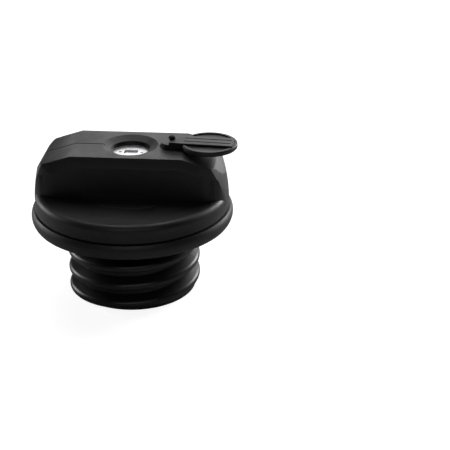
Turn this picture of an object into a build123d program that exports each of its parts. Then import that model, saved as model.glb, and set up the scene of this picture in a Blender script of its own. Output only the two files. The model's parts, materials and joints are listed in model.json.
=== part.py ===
from build123d import *
import math
import os

# Lockable screw-in fuel filler cap, in millimetres.
# The origin is the centre of the plug's bottom face, +Z is up the cap's axis,
# and the grip bar lies along X with the key cover swung open towards +X.

os.makedirs("parts", exist_ok=True)

# ---------------------------------------------------------------- clearances
running_gap = 0.06  # shaft in its bore, each side
seat_gap = 0.05  # pressed or dropped-in seat, each side
free_gap = 0.3  # between faces that only pass each other

# ---------------------------------------------------------------- neck
neck_root_radius = 20.3
neck_wall = 2.7
foot_ring_proud = 2.2
foot_ring_height = 1.5
thread_height = 3.8
thread_pitch = 7.1
thread_turns = 2.932
thread_start_z = 0.5
thread_start_angle = 168.6
thread_crest_width = 1.8
thread_base_width = 5.9
thread_root_bury = 1.0
thread_crest_drop = 0.45
thread_crest_ease = 0.65
shoulder_radius = 31.5
shoulder_bottom = 27.6
shoulder_thickness = 2.5
web_thickness = 3.0
collar_radius = 27.0
collar_height = 4.5
pocket_count = 24
pocket_tip_radius = 23.0
pocket_depth = 1.8
pocket_width = 2.9

# ---------------------------------------------------------------- gasket
gasket_radius = 30.5
gasket_thickness = 2.4
gasket_edge_round = 0.6
gasket_groove_radius = 26.3
gasket_groove_size = 1.0

# ---------------------------------------------------------------- handle, outside
bead_bottom = 26.9
bead_radius = 36.3
bead_bulge = 0.8
bead_widest_z = 28.7
bead_top = 31.9
bead_groove_depth = 2.0
bead_groove_height = 0.6
skirt_set_back = 1.35
skirt_middle_draft = 0.5
skirt_middle_z = 40.5
skirt_top_draft = 2.65
skirt_top_z = 50.5
floor_z = 38.5
floor_edge_round = 2.4
skirt_lip_draft = 0.2
floor_step_radius = 19.6
floor_step_height = 0.3
roof_z = 54.4
roof_flat_half = 19.4
roof_slope = 18.0
roof_end_round = 3.0
roof_end_steps = [28.0, 43.0, 60.0]
grip_half_width = 12.6
grip_corner_round = 9.0
brow_top_half_width = 12.3
brow_foot_half_width = 13.7
brow_height = 3.8
spine_width = 0.5
spine_depth = 0.45

# ---------------------------------------------------------------- handle, inside
wall = 2.5
bead_wall = 3.3
skirt_bore_top = 30.8
bay_set_back = 2.1
screw_circle_radius = 18.5
screw_boss_radius = 2.7
screw_count = 4
rib_thickness = 1.6

# ---------------------------------------------------------------- lock
recess_rim_radius = 9.85
recess_cone_depth = 1.3
recess_throat_radius = 6.9
face_drop = 2.8
face_thickness = 0.6
core_radius = 6.5
sleeve_radius = 8.4
sleeve_bottom = 34.7
sleeve_lip = 0.8
journal_radius = 5.1
tail_radius = 4.0
tail_flat = 3.0
tail_bottom = 32.6
key_width = 4.7
key_thickness = 2.8
key_depth = 14.5
window_length = 4.7
window_width = 3.4
dimple_offset = 3.8
dimple_radius = 0.45
dimple_depth = 0.35
ring_groove_drop = 3.6
ring_wire = 0.6
wafer_count = 5
wafer_pitch = 1.95
wafer_first_drop = 6.9
wafer_thickness = 1.2
wafer_half_width = 3.1
wafer_lug_reach = 5.1
wafer_lug_inner = 0.6
wafer_lug_outer = 1.8
wafer_travel = 0.8
wafer_spring_length = 4.0
shutter_thickness = 0.6
shutter_pin_radius = 0.4
shutter_hinge_offset = 2.75
shutter_barrel_radius = 0.75
window_offset = 0.3
pin_span = 7.4
shutter_fold_room = 4.5
shutter_swing_room = 3.0
shutter_front_lap = 0.25
wafer_cuts = [0.4, -0.3, 0.2, -0.4, 0.0]
wafer_spring_radius = 0.55
wafer_spring_wire = 0.24
wafer_spring_offset = 4.25
key_turn = 90.0

# ---------------------------------------------------------------- locking mechanism
plate_radius = 22.6
plate_thickness = 2.0
spindle_radius = 12.0
spindle_bore_radius = 8.5
spindle_length = 6.4
clip_groove_depth = 0.9
clip_thickness = 1.1
clip_radius = 14.6
clip_mouth_angle = 50.0
slide_thickness = 1.8
slide_travel = 2.0
slide_half_width = 9.4
slide_nose_half_width = 3.0
slide_tip_half_width = 1.1
slide_tip_length = 2.6
slide_frame = 3.6
slide_front_frame = 5.4
cam_base_radius = 5.0
cam_back_radius = 4.6
cam_gap = 0.25
cam_thickness = 1.7
cam_bore_radius = 4.3
cam_screw_radius = 1.5
cam_screw_depth = 3.4
cam_screw_head_radius = 3.6
cam_screw_head_height = 1.4
cam_screw_slot = 0.7
rail_width = 1.4
rail_length = 17.0
rail_middle_x = -1.5
slide_spring_radius = 1.5
slide_spring_offset = 6.0
slide_spring_length = 5.8
slide_spring_wire = 0.5
screw_shank_radius = 1.1
screw_head_radius = 2.1
screw_length = 6.6
screw_head_height = 1.2
cross_reach = 2.2
cross_width = 0.6

# ---------------------------------------------------------------- key cover
pivot_x = 14.8
cover_open_angle = -4.3
cover_reach = 13.3
cover_radius = 9.9
cover_rise = 0.5
cover_valley = 1.35
cover_rim_height = 1.75
cover_rim_width = 1.2
cover_bar_height = 2.2
cover_bar_half_width = 3.75
cover_arm_start = -0.4
cover_slot_width = 0.7
cover_slot_depth = 0.8
cover_slot_spacing = 3.0
cover_slot_start = 4.4
cover_slot_end = 21.0
hub_radius = 3.9
hub_top = 1.8
hub_pocket_radius = 4.5
hub_pocket_depth = 0.8
washer_thickness = 0.3
pin_radius = 0.8
pin_head_radius = 1.25
pin_head_height = 1.0
pin_boss_radius = 3.0
pin_depth = 7.0

# ---------------------------------------------------------------- breather valve
housing_wall = 2.0
housing_height = 16.5
grille_thickness = 1.6
vent_inner_circle = 7.2
vent_inner_radius = 2.2
vent_inner_count = 6
vent_outer_circle = 12.4
vent_outer_radius = 1.8
vent_outer_count = 12
plate_vent_count = 6
seat_z = 5.2
seat_thickness = 1.6
seat_hole_radius = 9.0
seat_lip_width = 1.0
seat_lip_height = 0.6
seal_thickness = 1.2
seal_outer_radius = 11.6
pressure_plate_radius = 12.6
pressure_plate_thickness = 1.3
pressure_lift = 3.0
vacuum_stem_radius = 2.0
vacuum_head_radius = 7.0
vacuum_head_thickness = 1.1
vacuum_drop = 1.5
vacuum_vent_radius = 1.0
vacuum_vent_circle = 4.6
vacuum_spring_radius = 3.4
valve_cap_thickness = 1.5
pressure_spring_radius = 9.6
spring_seat_radius = 12.0
spring_seat_height = 0.8
vacuum_spring_length = 4.4
vacuum_spring_wire = 0.6
spring_wire = 0.9

# ---------------------------------------------------------------- worked-out radii
neck_bore_radius = neck_root_radius - neck_wall
foot_ring_radius = neck_root_radius + foot_ring_proud
thread_crest_radius = neck_root_radius + thread_height
bead_edge_radius = bead_radius - bead_bulge
bead_groove_radius = bead_radius - bead_groove_depth
skirt_foot_radius = bead_radius - skirt_set_back
skirt_middle_radius = skirt_foot_radius - skirt_middle_draft
skirt_top_radius = skirt_foot_radius - skirt_top_draft
skirt_lip_radius = skirt_foot_radius - skirt_lip_draft
skirt_bore_radius = bead_radius - bead_wall
mechanism_bay_radius = skirt_bore_radius - bay_set_back
housing_radius = neck_bore_radius - seat_gap
housing_bore_radius = housing_radius - housing_wall

# ---------------------------------------------------------------- worked-out levels
shoulder_top = shoulder_bottom + shoulder_thickness
gasket_top = shoulder_bottom
web_bottom = shoulder_top - web_thickness
collar_top = shoulder_top + collar_height
bay_ceiling = floor_z - wall - 0.1
skirt_foot_z = bead_top + bead_groove_height
face_z = roof_z - face_drop
plate_bottom = shoulder_top + free_gap
plate_top = plate_bottom + plate_thickness
core_top = face_z - face_thickness
core_bottom = sleeve_bottom + sleeve_lip + 0.1
slide_bottom = plate_top + 0.1
slide_top = slide_bottom + slide_thickness
sleeve_bore_radius = core_radius + running_gap
cam_bottom = tail_bottom
rail_centre = slide_half_width + free_gap + rail_width / 2
pocket_radius = pocket_tip_radius + pocket_depth


def turned(outline):
    """A solid of revolution about Z from a closed outline of radius and height pairs."""
    with BuildPart() as body:
        with BuildSketch(Plane.XZ):
            with BuildLine():
                Polyline(*outline, close=True)
            make_face()
        revolve(axis=Axis.Z)
    return body.part


def coil(radius, wire, turns, length, frame):
    """An open-ended compression spring that stands on the frame and runs along its Z axis."""
    rise = length - wire
    with BuildPart() as body:
        with BuildLine() as path:
            Helix(pitch=rise / turns, height=rise, radius=radius - wire / 2, center=(0, 0, wire / 2))
        centreline = path.edges()[0]
        with BuildSketch(Plane(origin=centreline @ 0, z_dir=centreline % 0)):
            RegularPolygon(radius=wire / 2, side_count=6)
        sweep(path=centreline, is_frenet=True)
    return frame * body.part


def skirt_envelope(inset, top):
    """The knob's drafted outside, moved in by an inset, from the bead's top up to a level."""
    with BuildPart() as body:
        with BuildSketch(Plane.XZ):
            with BuildLine():
                arc = ThreePointArc(
                    (skirt_foot_radius - inset, skirt_foot_z),
                    (skirt_middle_radius - inset, skirt_middle_z),
                    (skirt_top_radius - inset, skirt_top_z),
                )
                lean = Line(arc @ 1, arc @ 1 + (arc % 1) * (top - skirt_top_z))
                Polyline(lean @ 1, (0, (lean @ 1).Y), (0, skirt_foot_z), arc @ 0)
            make_face()
        revolve(axis=Axis.Z)
    return body.part


def roof_slopes(drop):
    """The grip bar's roof along X: flat in the middle and sloping down at both ends."""
    slope = math.tan(math.radians(roof_slope))
    flat = roof_flat_half - drop * math.tan(math.radians(roof_slope / 2))
    end = skirt_foot_radius
    level = roof_z - drop
    fall = (end - flat) * slope
    return [(-end, level - fall), (-flat, level), (flat, level), (end, level - fall)]


def roof_line(drop):
    """The roof's slopes with their outer ends eased down in short steps."""
    low, turn = roof_slopes(drop)[0], roof_slopes(drop)[1]
    start = skirt_top_radius - drop - roof_end_round
    level = turn[1] - (start + turn[0]) * math.tan(math.radians(roof_slope))
    half = [(-turn[0], turn[1]), (start, level)]
    for steepness in roof_end_steps:
        last = half[-1]
        rise = roof_end_round / len(roof_end_steps) * math.tan(math.radians(steepness))
        half.append((last[0] + roof_end_round / len(roof_end_steps), last[1] - rise))
    half.append((-low[0], half[-1][1] - (-low[0] - half[-1][0]) * math.tan(math.radians(roof_end_steps[-1]))))
    return [(-x, z) for x, z in reversed(half)] + half


def bar_solid(half_width, corner, inset, drop, foot):
    """The grip bar: a round-cornered slab inside the skirt's envelope, under the roof line."""
    ends = skirt_envelope(inset, roof_z + 1)
    with BuildPart() as body:
        with BuildSketch(Plane.XY.offset(foot)) as plan:
            Circle(skirt_foot_radius - inset)
            Rectangle(3 * skirt_foot_radius, 2 * half_width, mode=Mode.INTERSECT)
            fillet(plan.vertices(), radius=corner)
        extrude(amount=roof_z)
        with BuildSketch(Plane.XZ):
            with BuildLine():
                Polyline(*roof_line(drop), (skirt_foot_radius, foot), (-skirt_foot_radius, foot), close=True)
            make_face()
        extrude(amount=2 * half_width, both=True, mode=Mode.INTERSECT)
        add(ends, mode=Mode.INTERSECT)
    return body.part


# ================================================================ neck
with BuildPart() as thread_ridge:
    with BuildLine() as thread_path:
        Helix(
            pitch=thread_pitch,
            height=thread_pitch * thread_turns,
            radius=neck_root_radius,
            center=(0, 0, thread_start_z),
        )
    thread_plane = Plane(origin=thread_path.edges()[0] @ 0, x_dir=(1, 0, 0), z_dir=(0, 1, 0))
    with BuildSketch(thread_plane):
        with BuildLine():
            Polyline(
                (-thread_root_bury, -thread_base_width / 2),
                (thread_height - thread_crest_drop, -thread_crest_width / 2),
                (thread_height, thread_crest_ease - thread_crest_width / 2),
                (thread_height, thread_crest_width / 2 - thread_crest_ease),
                (thread_height - thread_crest_drop, thread_crest_width / 2),
                (-thread_root_bury, thread_base_width / 2),
                close=True,
            )
        make_face()
    sweep(path=thread_path.edges()[0], is_frenet=True)
    split(bisect_by=Plane.XY, keep=Keep.TOP)

with BuildPart() as threaded_neck:
    with BuildSketch(Plane.XZ):
        with BuildLine():
            Polyline(
                (neck_bore_radius, 0),
                (foot_ring_radius, 0),
                (foot_ring_radius, foot_ring_height),
                (neck_root_radius, foot_ring_height + foot_ring_radius - neck_root_radius),
                (neck_root_radius, shoulder_bottom),
                (shoulder_radius, shoulder_bottom),
                (shoulder_radius, shoulder_top),
                (collar_radius, shoulder_top),
                (collar_radius, collar_top),
                (pocket_tip_radius, collar_top),
                (pocket_tip_radius, shoulder_top),
                (spindle_radius + running_gap, shoulder_top),
                (spindle_radius + running_gap, web_bottom),
                (neck_bore_radius, web_bottom),
                close=True,
            )
        make_face()
    revolve(axis=Axis.Z)
    add(Rot(0, 0, thread_start_angle) * thread_ridge.part)
    # pockets for the locking slide, all round the inside of the collar
    with BuildSketch(Plane.XY.offset(shoulder_top)):
        with PolarLocations(pocket_radius - pocket_depth, pocket_count):
            Rectangle(2 * pocket_depth, pocket_width)
    extrude(amount=2 * collar_height, mode=Mode.SUBTRACT)
threaded_neck.part.label = "threaded_neck"
export_step(threaded_neck.part, "parts/threaded_neck.step")

with BuildPart() as gasket:
    with BuildSketch(Plane.XZ) as gasket_section:
        with Locations((0, gasket_top)):
            with Locations(((neck_root_radius + seat_gap + gasket_radius) / 2, -gasket_thickness / 2)):
                Rectangle(gasket_radius - neck_root_radius - seat_gap, gasket_thickness)
        outer_corners = gasket_section.vertices().group_by(Axis.X)[-1]
        chamfer(outer_corners, length=gasket_edge_round)
        with Locations((gasket_groove_radius, gasket_top - gasket_thickness)):
            Rectangle(gasket_groove_size, gasket_groove_size, rotation=45, mode=Mode.SUBTRACT)
    revolve(axis=Axis.Z)
gasket.part.label = "gasket"
export_step(gasket.part, "parts/gasket.step")

# ================================================================ handle shell
bar = bar_solid(grip_half_width, grip_corner_round, 0, 0, skirt_foot_z + wall)
bar_hollow = bar_solid(grip_half_width - wall, grip_corner_round - wall, wall, wall, skirt_foot_z)

brow_corner_round = grip_corner_round + brow_foot_half_width - grip_half_width
brow_limits = bar_solid(brow_foot_half_width, brow_corner_round, 0, 0, skirt_foot_z + wall)

# the brow: a band under the roof line, wider at its foot, that follows both slopes
with BuildPart() as brow_band:
    with BuildLine(Plane.XZ) as roof_path:
        Polyline(*roof_slopes(0))
    first_run = roof_path.edges().sort_by(Axis.X)[0]
    with BuildSketch(Plane(origin=first_run @ 0, x_dir=(0, 1, 0), z_dir=first_run % 0)):
        with BuildLine():
            Polyline(
                (-brow_top_half_width, 0),
                (-brow_foot_half_width, -brow_height),
                (brow_foot_half_width, -brow_height),
                (brow_top_half_width, 0),
                close=True,
            )
        make_face()
    sweep(path=roof_path.line, transition=Transition.RIGHT)
    add(brow_limits, mode=Mode.INTERSECT)

mechanism_bay = turned([
    (0, bead_bottom - 1),
    (skirt_bore_radius, bead_bottom - 1),
    (skirt_bore_radius, skirt_bore_top),
    (mechanism_bay_radius, skirt_bore_top),
    (mechanism_bay_radius, bay_ceiling),
    (0, bay_ceiling),
])

lock_recess = turned([
    (0, roof_z + 1),
    (recess_rim_radius + 1, roof_z + 1),
    (recess_rim_radius, roof_z),
    (recess_throat_radius, roof_z - recess_cone_depth),
    (recess_throat_radius, face_z),
    (sleeve_radius + seat_gap, face_z),
    (sleeve_radius + seat_gap, plate_top),
    (0, plate_top),
])

with BuildPart() as handle_shell:
    # skirt, bottom bead and the two finger floors with their low step, turned in one profile
    with BuildSketch(Plane.XZ):
        with BuildLine():
            bead_low = ThreePointArc(
                (bead_edge_radius, bead_bottom),
                (bead_radius, bead_widest_z),
                (bead_edge_radius, bead_top),
            )
            Polyline(bead_low @ 1, (bead_groove_radius, bead_top), (bead_groove_radius, skirt_foot_z))
            step_up = Line((bead_groove_radius, skirt_foot_z), (skirt_foot_radius, skirt_foot_z))
            lip_foot = floor_z - floor_edge_round
            skirt_side = ThreePointArc(
                step_up @ 1,
                (skirt_foot_radius - 0.25, (skirt_foot_z + lip_foot) / 2),
                (skirt_lip_radius, lip_foot),
            )
            lip = TangentArc(
                skirt_side @ 1,
                (skirt_lip_radius - floor_edge_round, floor_z),
                tangent=skirt_side % 1,
            )
            Polyline(
                lip @ 1,
                (floor_step_radius + floor_step_height, floor_z),
                (floor_step_radius, floor_z + floor_step_height),
                (0, floor_z + floor_step_height),
                (0, bead_bottom),
                bead_low @ 0,
            )
        make_face()
    revolve(axis=Axis.Z)
    add(bar)
    add(brow_band.part)
    # spine groove from the roof's left end to the lock recess
    with BuildSketch(Plane.XZ):
        with BuildLine():
            Polyline(*roof_line(-1), *reversed(roof_line(spine_depth)), close=True)
        make_face()
        with Locations((skirt_foot_radius, roof_z)):
            Rectangle(2 * skirt_foot_radius, 2 * roof_z, mode=Mode.SUBTRACT)
    extrude(amount=spine_width / 2, both=True, mode=Mode.SUBTRACT)
    # mechanism bay under the floors, and the hollow of the bar above it
    add(mechanism_bay, mode=Mode.SUBTRACT)
    add(bar_hollow, mode=Mode.SUBTRACT)
    # boss for the lock sleeve, boss for the cover's pin, a rib along the bar and the screw bosses
    with BuildSketch(Plane.XY.offset(sleeve_bottom)):
        Circle(sleeve_radius + seat_gap + wall)
    extrude(amount=roof_z - wall / 2 - sleeve_bottom)
    with BuildSketch(Plane.XY.offset(roof_z - pin_depth - wall)):
        with Locations((pivot_x, 0)):
            Circle(pin_boss_radius)
    extrude(amount=pin_depth)
    with BuildSketch(Plane.XY.offset(bay_ceiling)):
        Rectangle(2 * (roof_flat_half + wall), rib_thickness)
    extrude(amount=roof_z - wall - bay_ceiling)
    with BuildSketch(Plane.XY.offset(plate_top)):
        with PolarLocations(screw_circle_radius, screw_count, start_angle=45):
            Circle(screw_boss_radius)
    extrude(amount=floor_z - wall / 2 - plate_top)
    # lock recess and the bore for its sleeve
    add(lock_recess, mode=Mode.SUBTRACT)
    # seat and hole for the key cover's hub and pin
    with BuildSketch(Plane.XY.offset(roof_z - hub_pocket_depth)):
        with Locations((pivot_x, 0)):
            Circle(hub_pocket_radius)
    extrude(amount=hub_pocket_depth, mode=Mode.SUBTRACT)
    with BuildSketch(Plane.XY.offset(roof_z - pin_depth)):
        with Locations((pivot_x, 0)):
            Circle(pin_radius + seat_gap)
    extrude(amount=pin_depth, mode=Mode.SUBTRACT)
    # pilot holes for the plate screws
    with BuildSketch(Plane.XY.offset(plate_top)):
        with PolarLocations(screw_circle_radius, screw_count, start_angle=45):
            Circle(screw_shank_radius + seat_gap)
    extrude(amount=screw_length - plate_thickness + seat_gap, mode=Mode.SUBTRACT)
handle_shell.part.label = "handle_shell"
export_step(handle_shell.part, "parts/handle_shell.step")

# ================================================================ lock
wafer_levels = [face_z - wafer_first_drop - wafer_pitch * index for index in range(wafer_count)]
core_ring_z = face_z - ring_groove_drop
ring_groove_radius = core_radius - 2 * ring_wire
slot_half_width = wafer_half_width + seat_gap
key_bottom = face_z - key_depth
lug_slot_start = wafer_lug_inner - wafer_spring_length
lug_slot_end = wafer_lug_outer + wafer_travel + 0.1
shutter_pin_z = core_top - shutter_thickness - shutter_pin_radius

lock_sleeve_body = turned([
    (sleeve_bore_radius, face_z),
    (sleeve_radius, face_z),
    (sleeve_radius, sleeve_bottom),
    (journal_radius + running_gap, sleeve_bottom),
    (journal_radius + running_gap, sleeve_bottom + sleeve_lip),
    (sleeve_bore_radius, sleeve_bottom + sleeve_lip),
])

with BuildPart() as lock_sleeve:
    add(lock_sleeve_body)
    # broached grooves that the wafers drop into at each quarter turn
    with BuildSketch(Plane.XY.offset(wafer_levels[-1] - wafer_thickness)):
        Rectangle(2 * (core_radius + wafer_travel + 0.4), 2 * wafer_half_width + 0.5)
        Rectangle(2 * wafer_half_width + 0.5, 2 * (core_radius + wafer_travel + 0.4))
        Circle(core_radius, mode=Mode.SUBTRACT)
    extrude(amount=wafer_levels[0] - wafer_levels[-1] + 2 * wafer_thickness, mode=Mode.SUBTRACT)
lock_sleeve.part.label = "lock_sleeve"
export_step(lock_sleeve.part, "parts/lock_sleeve.step")

lock_core_body = turned([
    (0, core_top),
    (core_radius, core_top),
    (core_radius, core_ring_z + ring_wire),
    (ring_groove_radius, core_ring_z + ring_wire),
    (ring_groove_radius, core_ring_z - ring_wire),
    (core_radius, core_ring_z - ring_wire),
    (core_radius, core_bottom),
    (journal_radius, core_bottom),
    (journal_radius, sleeve_bottom - 0.2),
    (tail_radius, sleeve_bottom - 0.2),
    (tail_radius, tail_bottom),
    (0, tail_bottom),
])

with BuildPart() as lock_core:
    add(lock_core_body)
    # drive flats on the tail
    with BuildSketch(Plane.XY.offset(tail_bottom)):
        Circle(tail_radius + 1)
        Rectangle(3 * tail_radius, 2 * tail_flat, mode=Mode.SUBTRACT)
    extrude(amount=sleeve_bottom - 0.2 - tail_bottom, mode=Mode.SUBTRACT)
    # keyway, and the room behind it for the shutter to fold into
    with BuildSketch(Plane.XY.offset(key_bottom)):
        Rectangle(key_width + 0.2, key_thickness)
    extrude(amount=core_top - key_bottom, mode=Mode.SUBTRACT)
    with BuildSketch(Plane.XY.offset(shutter_pin_z - shutter_fold_room)):
        with Locations((0, shutter_hinge_offset - 0.6)):
            Rectangle(window_length + 0.6, 2 * (shutter_hinge_offset - 0.6))
    extrude(amount=core_top - shutter_pin_z + shutter_fold_room, mode=Mode.SUBTRACT)
    with BuildSketch(Plane.XY.offset(core_top - shutter_swing_room)):
        Rectangle(window_length + 0.6, window_width + 0.8)
    extrude(amount=shutter_swing_room, mode=Mode.SUBTRACT)
    # blind hole across the core for the shutter's hinge pin
    with BuildSketch(Plane.YZ.offset(-pin_span / 2)):
        with Locations((shutter_hinge_offset, shutter_pin_z)):
            Circle(shutter_pin_radius + seat_gap)
    extrude(amount=pin_span, mode=Mode.SUBTRACT)
    # wafer slots, each with a side pocket for its lug and spring
    for index, level in enumerate(wafer_levels):
        side = (-1) ** index
        wafer_plane = Plane(origin=(0, 0, level), x_dir=(side, 0, 0), z_dir=(0, 0, 1))
        with BuildSketch(wafer_plane):
            Rectangle(3 * core_radius, 2 * slot_half_width)
            with Locations(((lug_slot_start + lug_slot_end) / 2, wafer_lug_reach / 2 + seat_gap)):
                Rectangle(lug_slot_end - lug_slot_start, wafer_lug_reach)
        extrude(amount=wafer_thickness / 2 + seat_gap, both=True, mode=Mode.SUBTRACT)
    with BuildSketch(Plane.XY.offset(tail_bottom)):
        Circle(cam_screw_radius + seat_gap)
    extrude(amount=cam_screw_depth, mode=Mode.SUBTRACT)
lock_core.part.label = "lock_core"
export_step(lock_core.part, "parts/lock_core.step")

with BuildPart() as lock_face:
    with BuildSketch(Plane.XY.offset(core_top)) as face_plan:
        Circle(core_radius)
        with Locations((0, window_offset)):
            RectangleRounded(window_length, window_width, 0.5, mode=Mode.SUBTRACT)
    extrude(amount=face_thickness)
    chamfer(lock_face.edges().group_by(Axis.Z)[-1].sort_by(SortBy.LENGTH)[-1], length=0.2)
    with BuildSketch(Plane.XY.offset(face_z - dimple_depth)):
        with Locations((-dimple_offset, 0), (dimple_offset, 0)):
            Circle(dimple_radius)
    extrude(amount=dimple_depth, mode=Mode.SUBTRACT)
lock_face.part.label = "lock_face"
export_step(lock_face.part, "parts/lock_face.step")

with BuildPart() as key_shutter:
    with BuildSketch(Plane.YZ) as shutter_side:
        with Locations((shutter_hinge_offset, shutter_pin_z)):
            Circle(shutter_barrel_radius)
        shutter_back = shutter_hinge_offset
        shutter_front = window_offset - window_width / 2 - shutter_front_lap
        with Locations(((shutter_back + shutter_front) / 2, core_top - shutter_thickness / 2 - 0.05)):
            Rectangle(shutter_back - shutter_front, shutter_thickness)
        with Locations((shutter_hinge_offset, shutter_pin_z)):
            Circle(shutter_pin_radius + running_gap, mode=Mode.SUBTRACT)
    extrude(amount=window_length / 2 - 0.1, both=True)
key_shutter.part.label = "key_shutter"
export_step(key_shutter.part, "parts/key_shutter.step")

with BuildPart() as shutter_pin:
    with BuildSketch(Plane.YZ.offset(-pin_span / 2)):
        with Locations((shutter_hinge_offset, shutter_pin_z)):
            Circle(shutter_pin_radius)
    extrude(amount=pin_span)
shutter_pin.part.label = "shutter_pin"
export_step(shutter_pin.part, "parts/shutter_pin.step")

with BuildPart() as core_o_ring:
    with BuildSketch(Plane.XZ):
        with Locations((core_radius - ring_wire + 0.02, core_ring_z)):
            Circle(ring_wire - 0.02)
    revolve(axis=Axis.Z)
core_o_ring.part.label = "core_o_ring"
export_step(core_o_ring.part, "parts/core_o_ring.step")

for index, level in enumerate(wafer_levels):
    side = (-1) ** index
    wafer_plane = Plane(origin=(0, 0, level), x_dir=(side, 0, 0), z_dir=(0, 0, 1))
    cut_depth = wafer_cuts[index]
    with BuildPart() as wafer:
        with BuildSketch(wafer_plane):
            Circle(core_radius - 0.1)
            Rectangle(3 * core_radius, 2 * wafer_half_width, mode=Mode.INTERSECT)
            with Locations(((wafer_lug_inner + wafer_lug_outer) / 2, wafer_lug_reach / 2)):
                Rectangle(wafer_lug_outer - wafer_lug_inner, wafer_lug_reach)
            with Locations((-cut_depth, 0)):
                Rectangle(key_width + 0.6, key_thickness + 0.2, mode=Mode.SUBTRACT)
        extrude(amount=wafer_thickness / 2, both=True)
    wafer.part.label = f"wafer_{index + 1}"
    export_step(wafer.part, f"parts/wafer_{index + 1}.step")

    spring_start = wafer_plane.from_local_coords(Vector(lug_slot_start, wafer_spring_offset, 0))
    spring_frame = Plane(origin=spring_start, z_dir=(side, 0, 0))
    with BuildPart() as wafer_spring:
        add(coil(wafer_spring_radius, wafer_spring_wire, 4, wafer_spring_length, spring_frame))
    wafer_spring.part.label = f"wafer_spring_{index + 1}"
    export_step(wafer_spring.part, f"parts/wafer_spring_{index + 1}.step")

# ================================================================ locking mechanism
clip_groove_top = web_bottom - free_gap + seat_gap
clip_groove_bottom = clip_groove_top - clip_thickness - 2 * seat_gap
spindle_bottom = plate_bottom - spindle_length
clip_groove_radius = spindle_radius - clip_groove_depth
cam_wall_x = cam_base_radius + cam_gap
slide_window_half = cam_base_radius + slide_travel + 2 * cam_gap
slide_back_x = cam_back_radius + slide_travel + 2 * cam_gap
slide_shoulder_x = cam_wall_x + slide_front_frame
slide_tip_x = pocket_tip_radius - free_gap
spring_post_x = slide_shoulder_x + slide_spring_length

mechanism_plate_body = turned([
    (cam_bore_radius, plate_top),
    (plate_radius, plate_top),
    (plate_radius, plate_bottom),
    (spindle_radius, plate_bottom),
    (spindle_radius, clip_groove_top),
    (clip_groove_radius, clip_groove_top),
    (clip_groove_radius, clip_groove_bottom),
    (spindle_radius, clip_groove_bottom),
    (spindle_radius, spindle_bottom + 0.5),
    (spindle_radius - 0.5, spindle_bottom),
    (spindle_bore_radius, spindle_bottom),
    (spindle_bore_radius, plate_bottom),
    (cam_bore_radius, plate_bottom),
])

with BuildPart() as mechanism_plate:
    add(mechanism_plate_body)
    # guide rails for the slide, and the post its spring pushes from
    with BuildSketch(Plane.XY.offset(plate_top)):
        for rail_y in (-rail_centre, rail_centre):
            with Locations((rail_middle_x, rail_y)):
                Rectangle(rail_length, rail_width)
        with Locations((spring_post_x + rail_width / 2, slide_spring_offset)):
            Rectangle(rail_width, 2 * slide_spring_radius + 0.6)
    extrude(amount=slide_top - plate_top)
    with BuildSketch(Plane.XY.offset(plate_bottom)):
        with PolarLocations(screw_circle_radius, screw_count, start_angle=45):
            Circle(screw_shank_radius + 2 * seat_gap)
    extrude(amount=plate_thickness, mode=Mode.SUBTRACT)
    with BuildSketch(Plane.XY.offset(plate_bottom)):
        with PolarLocations(screw_circle_radius, screw_count, start_angle=45):
            Circle(screw_head_radius + 2 * seat_gap)
    extrude(amount=screw_head_height, mode=Mode.SUBTRACT)
mechanism_plate.part.label = "mechanism_plate"
export_step(mechanism_plate.part, "parts/mechanism_plate.step")

with BuildPart() as plate_screws:
    with BuildSketch(Plane.XY.offset(plate_bottom)):
        with PolarLocations(screw_circle_radius, screw_count, start_angle=45):
            Circle(screw_head_radius)
    extrude(amount=screw_head_height)
    with BuildSketch(Plane.XY.offset(plate_bottom)):
        with PolarLocations(screw_circle_radius, screw_count, start_angle=45):
            Circle(screw_shank_radius)
    extrude(amount=screw_length)
    # cross recesses
    with BuildSketch(Plane.XY.offset(plate_bottom)):
        with PolarLocations(screw_circle_radius, screw_count, start_angle=45):
            Rectangle(cross_reach, cross_width)
            Rectangle(cross_width, cross_reach)
    extrude(amount=cross_width, mode=Mode.SUBTRACT)
plate_screws.part.label = "plate_screws"
export_step(plate_screws.part, "parts/plate_screws.step")

with BuildPart() as retaining_ring:
    with BuildSketch(Plane.XY.offset(clip_groove_bottom + seat_gap)):
        Circle(clip_radius)
        Circle(clip_groove_radius + seat_gap, mode=Mode.SUBTRACT)
        with BuildLine():
            reach = 2 * clip_radius
            Polyline(
                (0, 0),
                (-reach, -reach * math.tan(math.radians(clip_mouth_angle / 2))),
                (-reach, reach * math.tan(math.radians(clip_mouth_angle / 2))),
                close=True,
            )
        make_face(mode=Mode.SUBTRACT)
    extrude(amount=clip_thickness)
retaining_ring.part.label = "retaining_ring"
export_step(retaining_ring.part, "parts/retaining_ring.step")

with BuildPart() as locking_slide:
    with BuildSketch(Plane.XY.offset(slide_bottom)) as slide_plan:
        with BuildLine():
            Polyline(
                (-slide_back_x - slide_frame, -slide_half_width),
                (slide_shoulder_x, -slide_half_width),
                (slide_shoulder_x, -slide_nose_half_width),
                (slide_tip_x - slide_tip_length, -slide_nose_half_width),
                (slide_tip_x - slide_tip_length, -slide_tip_half_width),
                (slide_tip_x, -slide_tip_half_width),
                (slide_tip_x, slide_tip_half_width),
                (slide_tip_x - slide_tip_length, slide_tip_half_width),
                (slide_tip_x - slide_tip_length, slide_nose_half_width),
                (slide_shoulder_x, slide_nose_half_width),
                (slide_shoulder_x, slide_half_width),
                (-slide_back_x - slide_frame, slide_half_width),
                close=True,
            )
        make_face()
        with Locations(((cam_wall_x - slide_back_x) / 2, 0)):
            Rectangle(cam_wall_x + slide_back_x, 2 * slide_window_half, mode=Mode.SUBTRACT)
    extrude(amount=slide_thickness)
locking_slide.part.label = "locking_slide"
export_step(locking_slide.part, "parts/locking_slide.step")

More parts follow.
